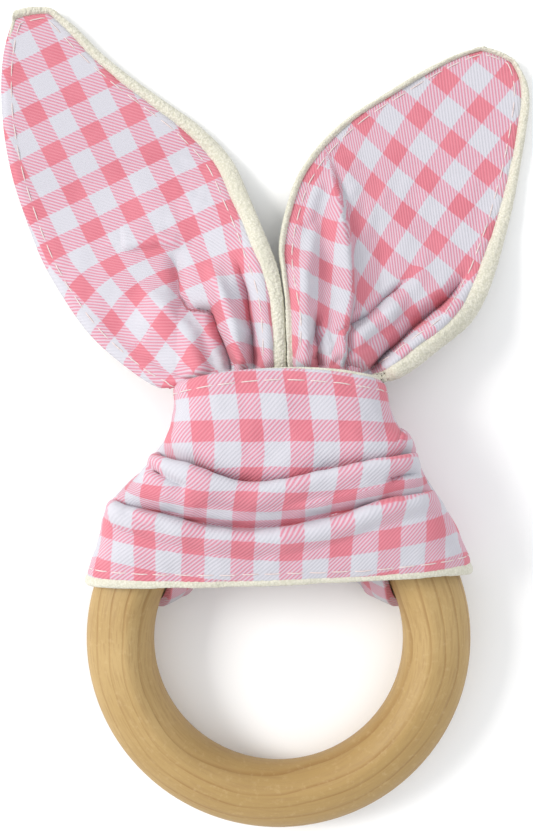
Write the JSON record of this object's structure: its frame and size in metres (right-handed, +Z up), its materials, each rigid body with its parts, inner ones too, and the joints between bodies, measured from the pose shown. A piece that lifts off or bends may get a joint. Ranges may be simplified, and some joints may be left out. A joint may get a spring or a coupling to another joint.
{
  "type": "teething ring",
  "caption": "Wooden teething ring with a lined, checked cloth strip hitched round its top and ending in two soft ears.",
  "frame": {"origin": "middle of the object's footprint, on the surface that it lies on", "axes": "+Y from the wooden ring towards the ears, +Z up, out of the front of the band, +X to the right of someone who faces the band with the ears up"},
  "size_m": [0.0991, 0.1522, 0.0254],
  "materials": {
    "wood": "bare, fine sanded, faint growth lines that follow the ring",
    "gingham": "brushed cotton twill, pink and white check",
    "terry": "cream terry towelling with short loops",
    "thread": "white sewing thread"
  },
  "bodies": {
    "knot": {"band_gingham": "gingham", "band_terry": "terry", "left_wrap_gingham": "gingham", "left_wrap_terry": "terry", "right_wrap_gingham": "gingham", "right_wrap_terry": "terry", "left_root_gingham": "gingham", "left_root_terry": "terry", "right_root_gingham": "gingham", "right_root_terry": "terry", "band_upper_topstitch": "thread", "band_lower_topstitch": "thread"},
    "ring": {"wooden_ring": "wood"},
    "left_ear": {"left_ear_gingham": "gingham", "left_ear_terry": "terry", "left_ear_topstitch": "thread"},
    "right_ear": {"right_ear_gingham": "gingham", "right_ear_terry": "terry", "right_ear_topstitch": "thread"}
  },
  "joints": [
    {"name": "ring_turn", "type": "hinge", "parent": "knot", "child": "ring", "pos_m": [0.00238, -0.04126, 0.00829], "axis": [0, -0.0802, 0.9968], "continuous": true},
    {"name": "left_ear_fold", "type": "hinge", "parent": "knot", "child": "left_ear", "pos_m": [-0.00542, 0.00854, 0.0254], "axis": [1, 0, 0], "range_deg": [0, 150]},
    {"name": "right_ear_fold", "type": "hinge", "parent": "knot", "child": "right_ear", "pos_m": [0.01148, 0.00854, 0.0254], "axis": [1, 0, 0], "range_deg": [0, 150]}
  ]
}
